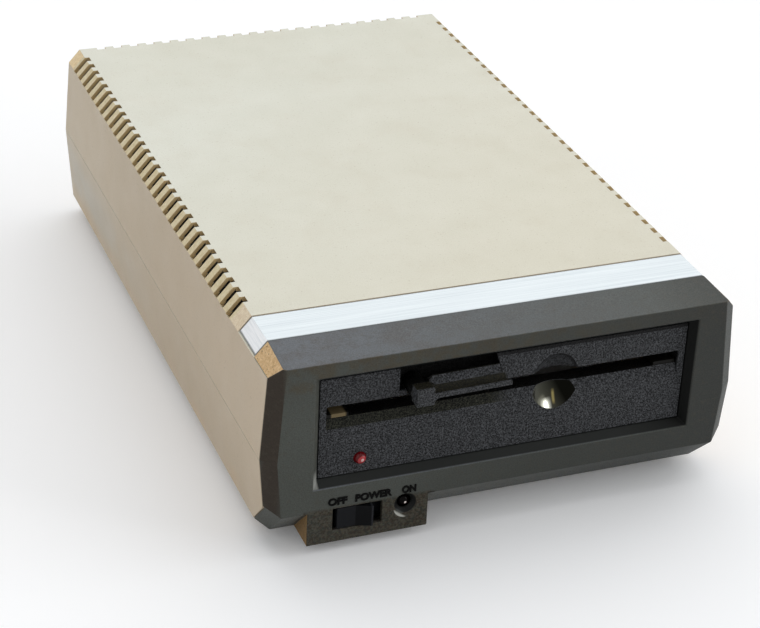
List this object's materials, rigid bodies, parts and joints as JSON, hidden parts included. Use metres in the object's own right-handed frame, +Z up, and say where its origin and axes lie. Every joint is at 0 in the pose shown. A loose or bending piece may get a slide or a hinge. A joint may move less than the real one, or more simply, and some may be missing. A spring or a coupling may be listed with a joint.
{
  "type": "external floppy disk drive",
  "caption": "Desktop external floppy disk drive with a slot, turning latch lever, power switch, vented beige case and dark front.",
  "frame": {"origin": "on the table below the middle of the drive, lever included", "axes": "+Z up, the slot and the front face -Y, +X to the right seen from the front"},
  "size_m": [0.194, 0.3112, 0.083],
  "materials": {
    "case_plastic": "fine textured beige moulding",
    "front_paint": "matt dark brown paint",
    "bezel_plastic": "black crinkle texture",
    "strip_aluminium": "brushed and lacquered",
    "black_plastic": "smooth black",
    "foot_rubber": "matt",
    "red_lens": "clear red resin",
    "tan_plastic": "moulded tan guide",
    "cast_aluminium": "cast and machined",
    "steel": "turned and ground",
    "zinc_steel": "zinc plated",
    "brass": "turned",
    "circuit_board": "green solder mask",
    "chip_plastic": "black moulding",
    "capacitor_sleeve": "blue shrink sleeve",
    "motor_can": "pressed can",
    "belt_rubber": "ground flat",
    "white_plastic": "acetal",
    "grey_ribbon": "flat cable",
    "felt": "pressed felt",
    "ceramic_head": "lapped"
  },
  "bodies": {
    "case": {"top_cover": "case_plastic", "bottom_cover": "case_plastic", "front_fascia": "front_paint", "trim_strip": "strip_aluminium", "case_feet": "foot_rubber", "case_screws": "zinc_steel", "drive_bezel": "bezel_plastic", "drive_led": "red_lens", "power_led": "red_lens", "power_switch_body": "black_plastic", "main_board": "circuit_board", "board_screws": "zinc_steel", "board_chips": "chip_plastic", "filter_capacitors": "capacitor_sleeve", "heat_sink": "cast_aluminium", "regulators": "chip_plastic", "serial_ports": "black_plastic", "port_contacts": "brass", "power_jack": "black_plastic", "drive_select_body": "black_plastic", "drive_chassis": "cast_aluminium", "chassis_screws": "zinc_steel", "left_disk_guide": "tan_plastic", "right_disk_guide": "tan_plastic", "guide_rods": "steel", "spindle_bearings": "steel", "drive_motor": "motor_can", "drive_belt": "belt_rubber", "stepper_motor": "motor_can", "clamp_arm_pin": "steel", "servo_board": "circuit_board", "servo_board_screws": "zinc_steel", "servo_chips": "chip_plastic", "ribbon_plugs": "black_plastic", "ribbon_cable": "grey_ribbon", "index_sensor": "chip_plastic", "track_zero_sensor": "chip_plastic"},
    "latch": {"latch_lever": "bezel_plastic", "lever_shaft": "steel"},
    "clamp": {"clamp_arm": "zinc_steel", "clamp_spring": "steel"},
    "cone": {"clamp_cone": "white_plastic"},
    "disk_spindle": {"spindle": "brass", "spindle_pulley": "cast_aluminium"},
    "motor_rotor": {"motor_pulley": "brass"},
    "carriage": {"head_carriage": "cast_aluminium", "lower_head": "ceramic_head", "positioner_band": "steel", "pad_hinge_pin": "steel"},
    "upper_arm": {"pad_arm": "white_plastic", "pressure_pad": "felt"},
    "stepper_rotor": {"stepper_capstan": "steel"},
    "power_knob": {"power_slider": "black_plastic"},
    "select_knob_1": {"drive_select_slider_1": "white_plastic"},
    "select_knob_2": {"drive_select_slider_2": "white_plastic"}
  },
  "joints": [
    {"name": "latch_turn", "type": "hinge", "parent": "case", "child": "latch", "pos_m": [-0.03665, -0.14995, 0.0642], "axis": [0, 1, 0], "range_deg": [0, 90]},
    {"name": "clamp_lift", "type": "hinge", "parent": "case", "child": "clamp", "pos_m": [0, 0.02195, 0.0692], "axis": [1, 0, 0], "range_deg": [0, 4.3]},
    {"name": "cone_spin", "type": "hinge", "parent": "clamp", "child": "cone", "pos_m": [0, -0.07616, 0.06735], "axis": [0, 0.075, 0.9972], "continuous": true},
    {"name": "spindle_spin", "type": "hinge", "parent": "case", "child": "disk_spindle", "pos_m": [0, -0.07575, 0.045], "axis": [0, 0, 1], "continuous": true},
    {"name": "motor_spin", "type": "hinge", "parent": "case", "child": "motor_rotor", "pos_m": [-0.05, 0.028, 0.045], "axis": [0, 0, 1], "continuous": true},
    {"name": "carriage_slide", "type": "slide", "parent": "case", "child": "carriage", "axis": [0, -1, 0], "range_m": [0, 0.0206]},
    {"name": "stepper_turn", "type": "hinge", "parent": "case", "child": "stepper_rotor", "pos_m": [0.045, 0.028, 0.055], "axis": [0, 0, 1], "range_deg": [0, 182]},
    {"name": "pad_arm_lift", "type": "hinge", "parent": "carriage", "child": "upper_arm", "pos_m": [0, 0.015, 0.0635], "axis": [1, 0, 0], "range_deg": [0, 7.5]},
    {"name": "power_slide", "type": "slide", "parent": "case", "child": "power_knob", "axis": [1, 0, 0], "range_m": [0, 0.0028]},
    {"name": "drive_select_1", "type": "slide", "parent": "case", "child": "select_knob_1", "axis": [1, 0, 0], "range_m": [0, 0.003]},
    {"name": "drive_select_2", "type": "slide", "parent": "case", "child": "select_knob_2", "axis": [1, 0, 0], "range_m": [0, 0.003]}
  ],
  "couplings": [
    {"joint": "clamp_lift", "follows": "latch_turn", "ratio": 0.04777},
    {"joint": "pad_arm_lift", "follows": "latch_turn", "ratio": 0.08333},
    {"joint": "cone_spin", "follows": "spindle_spin", "ratio": 1},
    {"joint": "motor_spin", "follows": "spindle_spin", "ratio": 4.6154},
    {"joint": "stepper_turn", "follows": "carriage_slide", "rad_per_m": 153.85}
  ]
}
